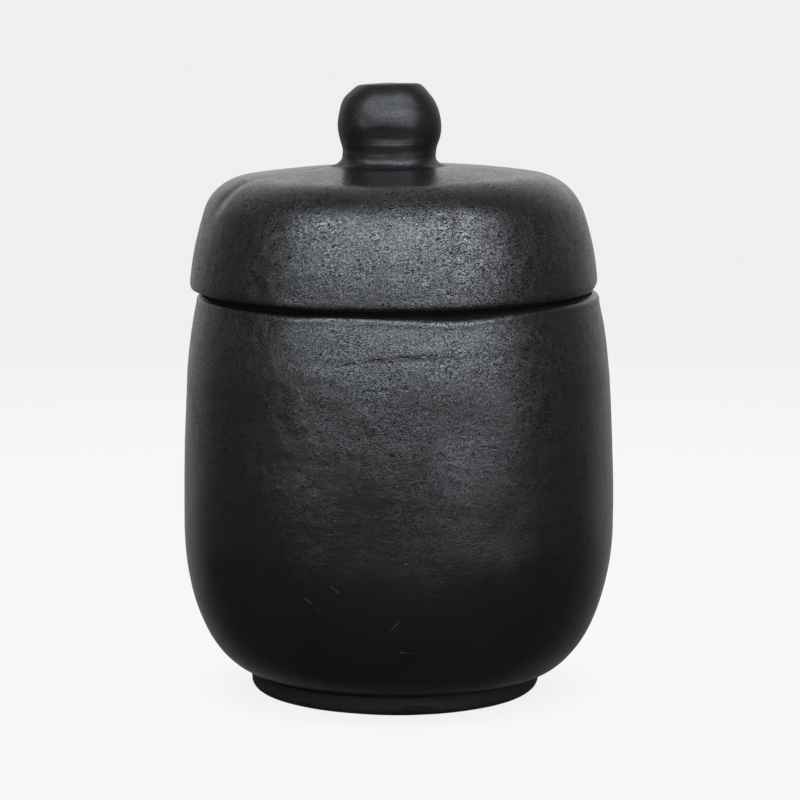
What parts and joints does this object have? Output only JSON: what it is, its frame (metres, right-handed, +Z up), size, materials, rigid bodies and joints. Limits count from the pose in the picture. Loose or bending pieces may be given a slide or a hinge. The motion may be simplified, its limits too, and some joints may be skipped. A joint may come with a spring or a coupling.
{
  "type": "empty candle jar with lid",
  "caption": "Hand-built black clay candle jar, empty, with a barrel body on a foot ring and a lift-off domed lid with a ball knob.",
  "frame": {"origin": "on the jar's own upright axis, at the level that the foot ring stands on", "axes": "+Z up along the jar's axis, towards the knob; +X to the right and -Y towards the viewer"},
  "size_m": [0.1, 0.1, 0.141],
  "materials": {
    "burnished_clay": "satin",
    "raw_clay": "matte"
  },
  "bodies": {
    "jar": {"foot_ring": "burnished_clay", "base_slab": "raw_clay", "jar_wall": "burnished_clay", "rim_coil": "burnished_clay", "floor_coil": "raw_clay"},
    "lid": {"lid_dome": "burnished_clay", "lid_flange": "raw_clay", "flange_coil": "raw_clay", "knob": "burnished_clay", "knob_coil": "burnished_clay"}
  },
  "joints": [
    {"name": "lid_lift", "type": "slide", "parent": "jar", "child": "lid", "axis": [0, 0, 1], "range_m": [0, 0.07]}
  ]
}
